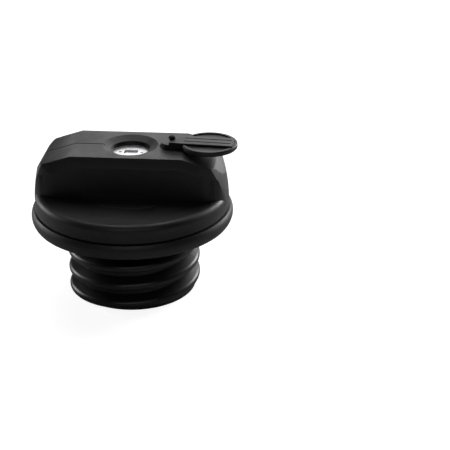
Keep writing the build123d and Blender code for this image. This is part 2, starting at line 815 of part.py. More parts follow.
with BuildPart() as slide_spring:
    spring_frame = Plane(
        origin=(slide_shoulder_x, slide_spring_offset, plate_top + slide_spring_radius + 0.1),
        z_dir=(1, 0, 0),
    )
    add(coil(slide_spring_radius, slide_spring_wire, 5, slide_spring_length, spring_frame))
slide_spring.part.label = "slide_spring"
export_step(slide_spring.part, "parts/slide_spring.step")

# The cam's working edge is an involute: its reach along X grows evenly with the core's turn.
cam_rise = slide_travel / math.radians(key_turn)


def cam_point(angle):
    """Point of the cam's edge whose normal lies at this angle from +X, core at rest."""
    normal = math.radians(angle)
    reach = cam_base_radius - cam_rise * normal
    return (
        reach * math.cos(normal) + cam_rise * math.sin(normal),
        reach * math.sin(normal) - cam_rise * math.cos(normal),
    )


with BuildPart() as drive_cam:
    with BuildSketch(Plane.XY.offset(cam_bottom)) as cam_plan:
        Circle(cam_back_radius)
        with BuildLine():
            cam_edge = Spline(*[cam_point(angle) for angle in range(5, -int(key_turn) - 6, -19)])
            Polyline(cam_edge @ 1, (0, 0), cam_edge @ 0)
        make_face()
        Circle(tail_radius + seat_gap, mode=Mode.SUBTRACT)
    extrude(amount=cam_thickness)
    # drive flats in the bore
    with BuildSketch(Plane.XY.offset(cam_bottom)):
        Circle(cam_back_radius)
        Rectangle(3 * tail_radius, 2 * (tail_flat + seat_gap), mode=Mode.SUBTRACT)
    extrude(amount=cam_thickness)
drive_cam.part.label = "drive_cam"
export_step(drive_cam.part, "parts/drive_cam.step")

with BuildPart() as cam_screw:
    with BuildSketch(Plane.XY.offset(cam_bottom - cam_screw_head_height)):
        Circle(cam_screw_head_radius)
    extrude(amount=cam_screw_head_height)
    with BuildSketch(Plane.XY.offset(cam_bottom)):
        Circle(cam_screw_radius)
    extrude(amount=cam_screw_depth - seat_gap)
    with BuildSketch(Plane.XY.offset(cam_bottom - cam_screw_head_height)):
        Rectangle(cam_screw_head_radius, cam_screw_slot)
        Rectangle(cam_screw_slot, cam_screw_head_radius)
    extrude(amount=cam_screw_slot, mode=Mode.SUBTRACT)
cam_screw.part.label = "cam_screw"
export_step(cam_screw.part, "parts/cam_screw.step")

# ================================================================ key cover
cover_base = roof_z + cover_rise
cover_plane = Plane(
    origin=(pivot_x, 0, 0),
    x_dir=Vector(1, 0, 0).rotate(Axis.Z, cover_open_angle),
    z_dir=(0, 0, 1),
)
hub_bottom = roof_z - hub_pocket_depth + washer_thickness + 0.05
cover_bar_end = cover_reach + cover_radius - cover_rim_width

with BuildPart() as key_cover:
    # disc with a raised rim round a shallow valley
    with BuildSketch(cover_plane.offset(cover_base)):
        with Locations((cover_reach, 0)):
            Circle(cover_radius)
    extrude(amount=cover_rim_height)
    rim_edges = key_cover.edges().filter_by(GeomType.CIRCLE).sort_by(Axis.Z)
    chamfer(rim_edges[0], length=0.25)
    fillet(rim_edges[-1], radius=0.45)
    with BuildSketch(cover_plane.offset(cover_base + cover_valley)):
        with Locations((cover_reach, 0)):
            Circle(cover_radius - cover_rim_width)
    extrude(amount=cover_rim_height, mode=Mode.SUBTRACT)
    # thumb bar across the disc, and the arm back to the hub
    with BuildSketch(cover_plane.offset(cover_base)):
        with Locations(((cover_arm_start + cover_bar_end) / 2, 0)):
            Rectangle(cover_bar_end - cover_arm_start, 2 * cover_bar_half_width)
    extrude(amount=cover_bar_height)
    with BuildSketch(cover_plane.offset(hub_bottom)):
        Circle(hub_radius)
    extrude(amount=roof_z + hub_top - hub_bottom)
    with BuildSketch(cover_plane.offset(cover_base + cover_bar_height - cover_slot_depth)):
        with Locations(((cover_slot_start + cover_slot_end) / 2, 0)):
            with GridLocations(0, cover_slot_spacing, 1, 2):
                Rectangle(cover_slot_end - cover_slot_start, cover_slot_width)
    extrude(amount=cover_slot_depth, mode=Mode.SUBTRACT)
    with BuildSketch(cover_plane.offset(hub_bottom)):
        Circle(pin_radius + running_gap)
    extrude(amount=2 * cover_bar_height + 1, mode=Mode.SUBTRACT)
key_cover.part.label = "key_cover"
export_step(key_cover.part, "parts/key_cover.step")

with BuildPart() as cover_pivot_pin:
    with BuildSketch(Plane.XY.offset(roof_z - pin_depth + 0.2)):
        with Locations((pivot_x, 0)):
            Circle(pin_radius)
    extrude(amount=cover_base + cover_bar_height + 0.1 - roof_z + pin_depth - 0.2)
    with BuildSketch(Plane.XY.offset(cover_base + cover_bar_height + 0.1)):
        with Locations((pivot_x, 0)):
            Circle(pin_head_radius)
    extrude(amount=pin_head_height)
    fillet(cover_pivot_pin.edges().sort_by(Axis.Z)[-1], radius=0.35)
cover_pivot_pin.part.label = "cover_pivot_pin"
export_step(cover_pivot_pin.part, "parts/cover_pivot_pin.step")

with BuildPart() as cover_washer:
    with BuildSketch(Plane.XY.offset(roof_z - hub_pocket_depth)):
        with Locations((pivot_x, 0)):
            Circle(hub_radius - 0.4)
            Circle(pin_radius + 2 * seat_gap, mode=Mode.SUBTRACT)
    extrude(amount=washer_thickness)
cover_washer.part.label = "cover_washer"
export_step(cover_washer.part, "parts/cover_washer.step")

# ================================================================ breather valve
seat_top = seat_z + seat_thickness
seal_bottom = seat_top + seat_lip_height
pressure_plate_bottom = seal_bottom + seal_thickness
pressure_plate_top = pressure_plate_bottom + pressure_plate_thickness
vacuum_head_top = pressure_plate_bottom
vacuum_head_bottom = vacuum_head_top - vacuum_head_thickness
cap_bottom = housing_height - valve_cap_thickness
vacuum_clip_bottom = pressure_plate_top + vacuum_spring_length

valve_housing_body = turned([
    (housing_radius, 0),
    (housing_radius, housing_height),
    (housing_bore_radius, housing_height),
    (housing_bore_radius, seat_top),
    (seat_hole_radius + seat_lip_width, seat_top),
    (seat_hole_radius + seat_lip_width, seat_top + seat_lip_height),
    (seat_hole_radius, seat_top + seat_lip_height),
    (seat_hole_radius, seat_z),
    (housing_bore_radius, seat_z),
    (housing_bore_radius, 0),
])

with BuildPart() as valve_housing:
    add(valve_housing_body)
    # splash floor across the foot, pierced by two rings of vents
    with BuildSketch():
        Circle(housing_bore_radius)
        with PolarLocations(vent_inner_circle, vent_inner_count):
            Circle(vent_inner_radius, mode=Mode.SUBTRACT)
        with PolarLocations(vent_outer_circle, vent_outer_count):
            Circle(vent_outer_radius, mode=Mode.SUBTRACT)
    extrude(amount=grille_thickness)
valve_housing.part.label = "valve_housing"
export_step(valve_housing.part, "parts/valve_housing.step")

pressure_plate_body = turned([
    (vacuum_stem_radius + running_gap, pressure_plate_bottom),
    (pressure_plate_radius, pressure_plate_bottom),
    (pressure_plate_radius, pressure_plate_top),
    (spring_seat_radius, pressure_plate_top),
    (spring_seat_radius, pressure_plate_top + spring_seat_height),
    (spring_seat_radius - 1, pressure_plate_top + spring_seat_height),
    (spring_seat_radius - 1, pressure_plate_top),
    (vacuum_stem_radius + running_gap, pressure_plate_top),
])

with BuildPart() as pressure_plate:
    add(pressure_plate_body)
    with BuildSketch(Plane.XY.offset(pressure_plate_bottom)):
        with PolarLocations(vacuum_vent_circle, plate_vent_count):
            Circle(vacuum_vent_radius)
    extrude(amount=pressure_plate_thickness, mode=Mode.SUBTRACT)
pressure_plate.part.label = "pressure_plate"
export_step(pressure_plate.part, "parts/pressure_plate.step")

pressure_seal_body = turned([
    (seat_hole_radius - 0.6, seal_bottom),
    (seal_outer_radius, seal_bottom),
    (seal_outer_radius, pressure_plate_bottom),
    (seat_hole_radius - 0.6, pressure_plate_bottom),
])

with BuildPart() as pressure_seal:
    add(pressure_seal_body)
pressure_seal.part.label = "pressure_seal"
export_step(pressure_seal.part, "parts/pressure_seal.step")

with BuildPart() as pressure_spring:
    pressure_spring_frame = Plane.XY.offset(pressure_plate_top)
    pressure_spring_length = cap_bottom - pressure_plate_top
    add(coil(pressure_spring_radius, spring_wire, 2.5, pressure_spring_length, pressure_spring_frame))
pressure_spring.part.label = "pressure_spring"
export_step(pressure_spring.part, "parts/pressure_spring.step")

vacuum_valve_body = turned([
    (0, vacuum_head_bottom),
    (vacuum_head_radius, vacuum_head_bottom),
    (vacuum_head_radius, vacuum_head_top),
    (vacuum_stem_radius, vacuum_head_top),
    (vacuum_stem_radius, vacuum_clip_bottom),
    (vacuum_stem_radius - 0.5, vacuum_clip_bottom),
    (vacuum_stem_radius - 0.5, vacuum_clip_bottom + clip_thickness),
    (vacuum_stem_radius, vacuum_clip_bottom + clip_thickness),
    (vacuum_stem_radius, vacuum_clip_bottom + clip_thickness + 0.8),
    (0, vacuum_clip_bottom + clip_thickness + 0.8),
])

with BuildPart() as vacuum_valve:
    add(vacuum_valve_body)
vacuum_valve.part.label = "vacuum_valve"
export_step(vacuum_valve.part, "parts/vacuum_valve.step")

with BuildPart() as vacuum_clip:
    with BuildSketch(Plane.XY.offset(vacuum_clip_bottom)):
        Circle(vacuum_spring_radius + 0.6)
        Circle(vacuum_stem_radius - 0.5 + seat_gap, mode=Mode.SUBTRACT)
        with Locations((vacuum_spring_radius + 0.6, 0)):
            Rectangle(2 * vacuum_spring_radius, 2 * vacuum_stem_radius - 1.2, mode=Mode.SUBTRACT)
    extrude(amount=clip_thickness)
vacuum_clip.part.label = "vacuum_clip"
export_step(vacuum_clip.part, "parts/vacuum_clip.step")

with BuildPart() as vacuum_spring:
    vacuum_spring_frame = Plane.XY.offset(pressure_plate_top)
    add(coil(vacuum_spring_radius, vacuum_spring_wire, 3, vacuum_spring_length, vacuum_spring_frame))
vacuum_spring.part.label = "vacuum_spring"
export_step(vacuum_spring.part, "parts/vacuum_spring.step")

with BuildPart() as valve_cap:
    with BuildSketch(Plane.XY.offset(cap_bottom)):
        Circle(housing_bore_radius - seat_gap)
        Circle(vacuum_spring_radius + 1.4, mode=Mode.SUBTRACT)
        with PolarLocations(pressure_spring_radius - 2.4, plate_vent_count):
            Circle(1.2, mode=Mode.SUBTRACT)
    extrude(amount=valve_cap_thickness)
valve_cap.part.label = "valve_cap"
export_step(valve_cap.part, "parts/valve_cap.step")
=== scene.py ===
import json
import math

import bmesh
import bpy
from mathutils import Matrix, Vector


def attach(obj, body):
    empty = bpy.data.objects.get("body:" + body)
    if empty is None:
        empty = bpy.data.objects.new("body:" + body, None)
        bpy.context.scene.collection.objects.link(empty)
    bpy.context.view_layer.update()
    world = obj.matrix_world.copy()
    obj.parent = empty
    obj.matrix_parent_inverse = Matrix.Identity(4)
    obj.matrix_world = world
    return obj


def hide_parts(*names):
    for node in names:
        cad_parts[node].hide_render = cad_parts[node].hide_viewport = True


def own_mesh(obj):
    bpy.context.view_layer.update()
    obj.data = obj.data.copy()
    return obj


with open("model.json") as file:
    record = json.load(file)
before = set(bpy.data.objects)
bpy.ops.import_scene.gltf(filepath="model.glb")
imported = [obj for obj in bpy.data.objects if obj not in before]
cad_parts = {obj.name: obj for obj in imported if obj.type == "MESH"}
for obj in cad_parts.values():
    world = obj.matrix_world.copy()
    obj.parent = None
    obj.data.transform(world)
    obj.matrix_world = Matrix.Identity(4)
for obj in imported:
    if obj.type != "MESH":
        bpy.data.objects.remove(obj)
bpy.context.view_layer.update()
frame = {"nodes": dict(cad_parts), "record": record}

# Named lengths are in millimetres and named angles in degrees, unless a comment says otherwise.
MM = 0.001
TURN_STEPS = 192  # facets around a turned piece, and along one turn of the thread
PIN_STEPS = 64
CORNER_STEPS = 5
SHARP_ANGLE = 35.0  # an edge that bends more than this stays sharp in smooth shading
SOFT_SHARP_ANGLE = 60.0  # the same for a mesh whose edges are about to be rounded off
FLAT_ANGLE = 0.6  # facets that differ less than this count as one flat face
FLAT_WEIGHT = 60  # how strongly a large face decides the shading at its rim, 0 to 100
MERGE_REACH = 2e-7  # metres
nodes = frame["nodes"]
slot_of = {entry["node"]: entry["material_slot"] for entry in frame["record"]["subparts"]}


# ------------------------------------------------------------------ shared effects
RIDGE_START, RIDGE_FULL = 0.51, 0.60  # pointiness of an edge, from untouched to fully paler, partly rubbed by handling and partly painted highlight
HOLLOW_START, HOLLOW_FULL = 0.495, 0.44  # pointiness of a crevice, from open to tight, where painted shade dims the specular
NOISE_LOW, NOISE_HIGH = 0.3, 0.7  # the range in which most of a noise's values lie


def add_node(tree, kind, values=None):
    """A new node in a tree, with some of its inputs set by their socket names."""
    node = tree.nodes.new(kind)
    for label, value in (values or {}).items():
        node.inputs[label].default_value = value
    return node


def new_effect(name, inputs, outputs):
    """An empty shader node group with named sockets: (name, socket type, default)."""
    group = bpy.data.node_groups.new(name, "ShaderNodeTree")
    for label, kind, value in inputs:
        socket = group.interface.new_socket(name=label, in_out="INPUT", socket_type=kind)
        if value is not None:
            socket.default_value = value
    for label, kind in outputs:
        group.interface.new_socket(name=label, in_out="OUTPUT", socket_type=kind)
    return group, group.nodes.new("NodeGroupInput"), group.nodes.new("NodeGroupOutput")


def moulded_grain():
    """Fine grain of a spark-eroded mould, with a broad unevenness: a height and a 0..1 mask."""
    group, into, out = new_effect(
        "moulded grain",
        [("Coordinates", "NodeSocketVector", None), ("Grain Scale", "NodeSocketFloat", 2200.0),
         ("Blotch Scale", "NodeSocketFloat", 120.0)],
        [("Height", "NodeSocketFloat"), ("Blotch", "NodeSocketFloat")],
    )
    link = group.links.new
    grain = add_node(group, "ShaderNodeTexNoise", {"Detail": 2.0, "Roughness": 0.6})
    blotch = add_node(group, "ShaderNodeTexNoise", {"Detail": 3.0})
    link(into.outputs["Coordinates"], grain.inputs["Vector"])
    link(into.outputs["Coordinates"], blotch.inputs["Vector"])
    link(into.outputs["Grain Scale"], grain.inputs["Scale"])
    link(into.outputs["Blotch Scale"], blotch.inputs["Scale"])
    link(grain.outputs["Fac"], out.inputs["Height"])
    link(blotch.outputs["Fac"], out.inputs["Blotch"])
    return group


def wear_sheen_and_crevice_masks():
    """Masks of paler edges, partly rubbed by handling and partly painted highlight, broken up by
    noise, and of crevices, where painted shade dims the specular.
    """
    group, into, out = new_effect(
        "edge wear, painted sheen and crevice masks",
        [("Coordinates", "NodeSocketVector", None), ("Patch Scale", "NodeSocketFloat", 500.0),
         ("Amount", "NodeSocketFloat", 0.5)],
        [("Mask", "NodeSocketFloat"), ("Crevice", "NodeSocketFloat")],
    )
    link = group.links.new
    shape = add_node(group, "ShaderNodeNewGeometry")
    ridge = add_node(group, "ShaderNodeMapRange", {"From Min": RIDGE_START, "From Max": RIDGE_FULL})
    hollow = add_node(group, "ShaderNodeMapRange", {"From Min": HOLLOW_START, "From Max": HOLLOW_FULL})
    patch = add_node(group, "ShaderNodeTexNoise")
    spread = add_node(group, "ShaderNodeMath")
    spread.operation = "MULTIPLY"
    amount = add_node(group, "ShaderNodeMath")
    amount.operation = "MULTIPLY"
    link(into.outputs["Coordinates"], patch.inputs["Vector"])
    link(into.outputs["Patch Scale"], patch.inputs["Scale"])
    link(shape.outputs["Pointiness"], ridge.inputs["Value"])
    link(shape.outputs["Pointiness"], hollow.inputs["Value"])
    link(hollow.outputs["Result"], out.inputs["Crevice"])
    link(ridge.outputs["Result"], spread.inputs[0])
    link(patch.outputs["Fac"], spread.inputs[1])
    link(spread.outputs["Value"], amount.inputs[0])
    link(into.outputs["Amount"], amount.inputs[1])
    link(amount.outputs["Value"], out.inputs["Mask"])
    return group


GRAIN = moulded_grain()
WEAR_SHEEN_CREVICE = wear_sheen_and_crevice_masks()


# ------------------------------------------------------------------ finishes
OPEN_SHINE = 0.5  # specular level of an open surface
PAINTED_SHADE_CREVICE_SHINE = 0.05  # the same deep in a crevice, lowered there as painted shade
BLACK_RELIEF = 0.35  # strength of the grain on the black mouldings
PLAIN_RELIEF = 0.2  # and on the plain ones
PLAIN_GRAIN_HEIGHT = 0.03


def new_finish(name):
    """A material with its tree, its shader and the piece's own coordinates."""
    material = bpy.data.materials.new(name)
    material.use_nodes = True
    tree = material.node_tree
    shader = tree.nodes["Principled BSDF"]
    place = tree.nodes.new("ShaderNodeTexCoord")
    return material, tree, shader, place.outputs["Object"]


def use_effect(tree, effect, place):
    """One use of a shared effect at the piece's own coordinates."""
    node = tree.nodes.new("ShaderNodeGroup")
    node.node_tree = effect
    tree.links.new(place, node.inputs["Coordinates"])
    return node


def uneven_gloss(tree, shader, noise, roughness, spread):
    """Lets a noise carry the roughness to both sides of its middle value."""
    gloss = add_node(tree, "ShaderNodeMapRange", {
        "From Min": NOISE_LOW, "From Max": NOISE_HIGH,
        "To Min": roughness - spread, "To Max": roughness + spread})
    tree.links.new(noise, gloss.inputs["Value"])
    tree.links.new(gloss.outputs["Result"], shader.inputs["Roughness"])


def grain_relief(tree, shader, grain, strength, height):
    """Raises the grain on the surface by a height in millimetres."""
    relief = add_node(tree, "ShaderNodeBump", {"Strength": strength, "Distance": height * MM})
    tree.links.new(grain.outputs["Height"], relief.inputs["Height"])
    tree.links.new(relief.outputs["Normal"], shader.inputs["Normal"])


def black_moulding(name, base, worn_and_sheen, roughness, spread, grain_height, grain_scale):
    """Black polypropylene: grain in relief, uneven gloss, slightly paler edges that are partly rubbed
    and partly painted highlight, and painted shade that dims the specular in crevices.
    """
    material, tree, shader, place = new_finish(name)
    link = tree.links.new
    grain = use_effect(tree, GRAIN, place)
    grain.inputs["Grain Scale"].default_value = grain_scale
    wear_sheen_crevice = use_effect(tree, WEAR_SHEEN_CREVICE, place)
    # paler edges: partly rubbed by handling, partly a painted highlight
    colour = tree.nodes.new("ShaderNodeMix")
    colour.data_type = "RGBA"
    colour.inputs["A"].default_value = (*base, 1)
    colour.inputs["B"].default_value = (*worn_and_sheen, 1)
    link(wear_sheen_crevice.outputs["Mask"], colour.inputs["Factor"])
    link(colour.outputs["Result"], shader.inputs["Base Color"])
    uneven_gloss(tree, shader, grain.outputs["Blotch"], roughness, spread)
    grain_relief(tree, shader, grain, BLACK_RELIEF, grain_height)
    # painted shade: the specular level fades in crevices, standing in for the shade there
    specular_with_crevice_shade = add_node(tree, "ShaderNodeMapRange", {"To Min": OPEN_SHINE, "To Max": PAINTED_SHADE_CREVICE_SHINE})
    link(wear_sheen_crevice.outputs["Crevice"], specular_with_crevice_shade.inputs["Value"])
    link(specular_with_crevice_shade.outputs["Result"], shader.inputs["Specular IOR Level"])
    return material


def plain_metal(name, base, roughness, spread, scale):
    """Metal with a faint unevenness in its gloss."""
    material, tree, shader, place = new_finish(name)
    haze = add_node(tree, "ShaderNodeTexNoise", {"Scale": scale, "Detail": 4.0})
    tree.links.new(place, haze.inputs["Vector"])
    uneven_gloss(tree, shader, haze.outputs["Fac"], roughness, spread)
    shader.inputs["Base Color"].default_value = (*base, 1)
    shader.inputs["Metallic"].default_value = 1.0
    return material


def plain_moulding(name, base, roughness, specular=OPEN_SHINE):
    """Plastic or rubber of one colour, with a faint grain."""
    material, tree, shader, place = new_finish(name)
    grain = use_effect(tree, GRAIN, place)
    grain_relief(tree, shader, grain, PLAIN_RELIEF, PLAIN_GRAIN_HEIGHT)
    shader.inputs["Base Color"].default_value = (*base, 1)
    shader.inputs["Roughness"].default_value = roughness
    shader.inputs["Specular IOR Level"].default_value = specular
    return material


FINISHES = {
    # each black moulding's paler edge colour is partly rubbed and partly painted highlight
    "handle_plastic": black_moulding(
        "grained black handle", base=(0.0045, 0.0045, 0.005), worn_and_sheen=(0.024, 0.024, 0.027),
        roughness=0.50, spread=0.06, grain_height=0.06, grain_scale=2200.0),
    "neck_plastic": black_moulding(
        "smooth black neck", base=(0.005, 0.005, 0.006), worn_and_sheen=(0.020, 0.020, 0.022),
        roughness=0.37, spread=0.05, grain_height=0.01, grain_scale=1500.0),
    "valve_plastic": plain_moulding("natural acetal", base=(0.62, 0.60, 0.54), roughness=0.4),
    "seal_rubber": plain_moulding("black rubber", base=(0.018, 0.018, 0.019), roughness=0.7),
    "face_steel": plain_metal(
        "bright lock face", base=(0.62, 0.61, 0.62), roughness=0.34, spread=0.06, scale=900.0),
    "shutter_steel": plain_metal(
        "dull shutter", base=(0.85, 0.85, 0.88), roughness=0.40, spread=0.08, scale=900.0),
    "zinc": plain_metal(
        "bare zinc casting", base=(0.62, 0.63, 0.65), roughness=0.36, spread=0.08, scale=700.0),
    "wafer_brass": plain_metal(
        "stamped brass", base=(0.72, 0.52, 0.22), roughness=0.32, spread=0.06, scale=700.0),
    "spring_steel": plain_metal(
        "spring wire", base=(0.52, 0.52, 0.54), roughness=0.3, spread=0.05, scale=900.0),
    "fastener_steel": plain_metal(
        "plated steel", base=(0.58, 0.58, 0.60), roughness=0.33, spread=0.06, scale=800.0),
}
# matt black for the pivot pin's head, and for the painted shade blocks in the cover's slots
MATT_BLACK_PIN_AND_SLOT_SHADE = plain_moulding("matt black pin and painted slot shade", base=(0.004, 0.004, 0.004), roughness=0.75, specular=0.2)

for name, node in nodes.items():
    node.data.materials.clear()
    node.data.materials.append(FINISHES[slot_of[name]])


# ------------------------------------------------------------------ shaping helpers
def add_piece(name, mesh):
    """Puts a mesh in the scene under a name of its own."""
    piece = bpy.data.objects.new(name, mesh)
    bpy.context.scene.collection.objects.link(piece)
    return piece


def opened(mesh):
    """A copy of a mesh to work on, with the corners that CAD facets share merged."""
    shape = bmesh.new()
    shape.from_mesh(mesh)
    bmesh.ops.remove_doubles(shape, verts=shape.verts, dist=MERGE_REACH)
    return shape


def closed(shape, name):
    """Ends the work on a shape and gives its mesh."""
    mesh = bpy.data.meshes.new(name)
    shape.to_mesh(mesh)
    shape.free()
    return mesh


def shaded(mesh, sharp=SHARP_ANGLE):
    """Smooth faces that keep the real edges sharp."""
    mesh.polygons.foreach_set("use_smooth", [True] * len(mesh.polygons))
    mesh.set_sharp_from_angle(angle=math.radians(sharp))
    return mesh


def plain_result(holder):
    """The mesh that an object's modifiers make. The object itself goes."""
    evaluated = holder.evaluated_get(bpy.context.evaluated_depsgraph_get())
    mesh = bpy.data.meshes.new_from_object(evaluated)
    bpy.data.objects.remove(holder)
    return mesh


def eased(outline):
    """Rounds a closed outline of (radius, height, rounding); a rounding of 0 stays a corner."""
    corners = [Vector((radius, height)) for radius, height, rounding in outline]
    points = []
    for index, (corner, (radius, height, rounding)) in enumerate(zip(corners, outline)):
        if not rounding:
            points.append((radius, height))
            continue
        before = (corners[index - 1] - corner).normalized()
        after = (corners[(index + 1) % len(corners)] - corner).normalized()
        set_back = rounding / math.tan(before.angle(after) / 2)
        start, end = corner + before * set_back, corner + after * set_back
        for step in range(CORNER_STEPS + 1):
            share = step / CORNER_STEPS
            points.append(tuple(start.lerp(corner, share).lerp(corner.lerp(end, share), share)))
    return points


def turned_mesh(name, outline, count=TURN_STEPS, centre=(0.0, 0.0)):
    """A closed outline of (radius, height), turned about an upright axis."""
    size = len(outline)
    corners, faces = [], []
    for turn in range(count):
        angle = 2 * math.pi * turn / count
        for radius, height in outline:
            x = centre[0] + radius * math.cos(angle)
            y = centre[1] + radius * math.sin(angle)
            corners.append((x * MM, y * MM, height * MM))
        this_turn, next_turn = turn * size, (turn + 1) % count * size
        for point in range(size):
            after = (point + 1) % size
            faces.append((this_turn + point, next_turn + point, next_turn + after, this_turn + after))
    raw = bpy.data.meshes.new(name + "_turned")
    raw.from_pydata(corners, [], faces)
    shape = opened(raw)
    bmesh.ops.recalc_face_normals(shape, faces=shape.faces)
    return shaded(closed(shape, name))


def joined_mesh(name, meshes):
    """One mesh that holds several closed ones."""
    shape = bmesh.new()
    for mesh in meshes:
        shape.from_mesh(mesh)
    return shaded(closed(shape, name))


def cut_above(mesh, height):
    """Keeps what lies above a level and closes the cut."""
    shape = opened(mesh)
    whole = list(shape.verts) + list(shape.edges) + list(shape.faces)
    bmesh.ops.bisect_plane(
        shape, geom=whole, plane_co=(0, 0, height * MM), plane_no=(0, 0, 1), clear_inner=True)
    rim = [edge for edge in shape.edges if len(edge.link_faces) == 1]
    bmesh.ops.triangle_fill(shape, edges=rim, use_beauty=True, use_dissolve=False)
    bmesh.ops.recalc_face_normals(shape, faces=shape.faces)
    return closed(shape, mesh.name + "_top")


def softened_mesh(node, width, angle, segments=3):
    """A copy of a CAD node with the edges over an angle rounded and its flat faces kept flat."""
    shape = opened(nodes[node].data)
    bmesh.ops.dissolve_limit(
        shape, angle_limit=math.radians(FLAT_ANGLE), verts=shape.verts, edges=shape.edges,
        delimit={"NORMAL"})
    holder = add_piece(node + "_soft", shaded(closed(shape, node + "_faces"), SOFT_SHARP_ANGLE))
    rounding = holder.modifiers.new("rounded edges", "BEVEL")
    rounding.width = width * MM
    rounding.segments = segments
    rounding.limit_method = "ANGLE"
    rounding.angle_limit = math.radians(angle)
    rounding.use_clamp_overlap = True
    flatness = holder.modifiers.new("flat faces", "WEIGHTED_NORMAL")
    flatness.mode = "FACE_AREA_WITH_ANGLE"
    flatness.weight = FLAT_WEIGHT
    flatness.keep_sharp = True
    return plain_result(holder)


def stand_in(mesh, body, node, finish=None):
    """Hangs a finished piece on its body in place of the CAD node."""
    mesh.materials.clear()
    mesh.materials.append(finish or FINISHES[slot_of[node]])
    piece = add_piece(node + "_skin", mesh)
    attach(piece, body)
    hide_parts(node)
    return piece


# ------------------------------------------------------------------ threaded neck
NECK_BORE = 17.6
NECK_ROOT = 20.3
FOOT_RING = 22.5
FOOT_RING_HEIGHT = 1.5
FOOT_LEDGE_TOP = 3.7
SHOULDER_RADIUS = 31.5
SHOULDER_BOTTOM = 27.6
WEB_BOTTOM = 27.1  # the web closes the top of the plug around the spindle
SHOULDER_CUT = 29.95  # above this level the neck keeps its CAD shape, with the slide's pockets
SPINDLE_HOLE = 12.06

THREAD_PITCH = 7.1
THREAD_TURNS = 2.932
THREAD_START = 0.5
THREAD_START_ANGLE = 168.6
THREAD_CREST = 24.1
THREAD_BURY = 2.3  # how deep the ridge is sunk in the plug, to hide its base corners
THREAD_BASE_WIDTH = 7.6
THREAD_CREST_WIDTH = 2.2
THREAD_CREST_ROUND = 1.6
THREAD_ROUND_STEPS = 6


def thread_tree():
    """Sweeps a rounded trapezoid along a rising spiral: the neck's thread ridge."""
    tree = bpy.data.node_groups.new("thread_ridge", "GeometryNodeTree")
    base = NECK_ROOT - THREAD_BURY
    for label, kind, value in (
        ("Turns", "NodeSocketFloat", THREAD_TURNS),
        ("Rise", "NodeSocketFloat", THREAD_TURNS * THREAD_PITCH * MM),
        ("Start Height", "NodeSocketFloat", THREAD_START * MM),
        ("Start Angle", "NodeSocketFloat", math.radians(THREAD_START_ANGLE)),
        ("Middle Radius", "NodeSocketFloat", (base + THREAD_CREST) / 2 * MM),
        ("Ridge Height", "NodeSocketFloat", (THREAD_CREST - base) * MM),
        ("Base Width", "NodeSocketFloat", THREAD_BASE_WIDTH * MM),
        ("Crest Width", "NodeSocketFloat", THREAD_CREST_WIDTH * MM),
        ("Crest Round", "NodeSocketFloat", THREAD_CREST_ROUND * MM),
        ("Material", "NodeSocketMaterial", None),
    ):
        socket = tree.interface.new_socket(name=label, in_out="INPUT", socket_type=kind)
        if value is not None:
            socket.default_value = value
    tree.interface.new_socket(name="Geometry", in_out="OUTPUT", socket_type="NodeSocketGeometry")
    link = tree.links.new
    into = add_node(tree, "NodeGroupInput")
    out = add_node(tree, "NodeGroupOutput")
    spiral = add_node(tree, "GeometryNodeCurveSpiral", {"Resolution": TURN_STEPS, "Reverse": True})
    link(into.outputs["Turns"], spiral.inputs["Rotations"])
    link(into.outputs["Rise"], spiral.inputs["Height"])
    link(into.outputs["Middle Radius"], spiral.inputs["Start Radius"])
    link(into.outputs["Middle Radius"], spiral.inputs["End Radius"])
    lifted = add_node(tree, "ShaderNodeCombineXYZ")
    link(into.outputs["Start Height"], lifted.inputs["Z"])
    turned = add_node(tree, "ShaderNodeCombineXYZ")
    link(into.outputs["Start Angle"], turned.inputs["Z"])
    placed = add_node(tree, "GeometryNodeTransform")
    link(spiral.outputs["Curve"], placed.inputs["Geometry"])
    link(lifted.outputs["Vector"], placed.inputs["Translation"])
    link(turned.outputs["Vector"], placed.inputs["Rotation"])
    upright = add_node(tree, "GeometryNodeSetCurveNormal")
    upright.mode = "Z_UP"
    link(placed.outputs["Geometry"], upright.inputs["Curve"])
    section = add_node(tree, "GeometryNodeCurvePrimitiveQuadrilateral")
    section.mode = "TRAPEZOID"
    section.inputs["Offset"].default_value = 0.0
    link(into.outputs["Base Width"], section.inputs["Bottom Width"])
    link(into.outputs["Crest Width"], section.inputs["Top Width"])
    link(into.outputs["Ridge Height"], section.inputs["Height"])
    rounding = add_node(tree, "GeometryNodeFilletCurve")
    rounding.mode = "POLY"
    rounding.inputs["Count"].default_value = THREAD_ROUND_STEPS
    rounding.inputs["Limit Radius"].default_value = True
    link(section.outputs["Curve"], rounding.inputs["Curve"])
    link(into.outputs["Crest Round"], rounding.inputs["Radius"])
    outwards = add_node(tree, "GeometryNodeTransform", {"Rotation": (0, 0, math.radians(-90))})
    link(rounding.outputs["Curve"], outwards.inputs["Geometry"])
    sweep = add_node(tree, "GeometryNodeCurveToMesh", {"Fill Caps": True})
    link(upright.outputs["Curve"], sweep.inputs["Curve"])
    link(outwards.outputs["Geometry"], sweep.inputs["Profile Curve"])
    real = add_node(tree, "GeometryNodeRealizeInstances")
    painted = add_node(tree, "GeometryNodeSetMaterial")
    link(sweep.outputs["Mesh"], real.inputs["Geometry"])
    link(real.outputs["Geometry"], painted.inputs["Geometry"])
    link(into.outputs["Material"], painted.inputs["Material"])
    link(painted.outputs["Geometry"], out.inputs["Geometry"])
    return tree


def set_inputs(modifier, values):
    """Sets a node tree's inputs on its modifier by their sockets' identifiers."""
    for item in modifier.node_group.interface.items_tree:
        if item.item_type == "SOCKET" and item.in_out == "INPUT" and item.name in values:
            modifier[item.identifier] = values[item.name]


def thread_mesh():
    """The rising ridge, cut off level with the plug's foot."""
    holder = add_piece("thread_holder", bpy.data.meshes.new("thread_holder"))
    modifier = holder.modifiers.new("thread", "NODES")
    modifier.node_group = thread_tree()
    set_inputs(modifier, {"Material": FINISHES["neck_plastic"]})
    return cut_above(plain_result(holder), 0.0)


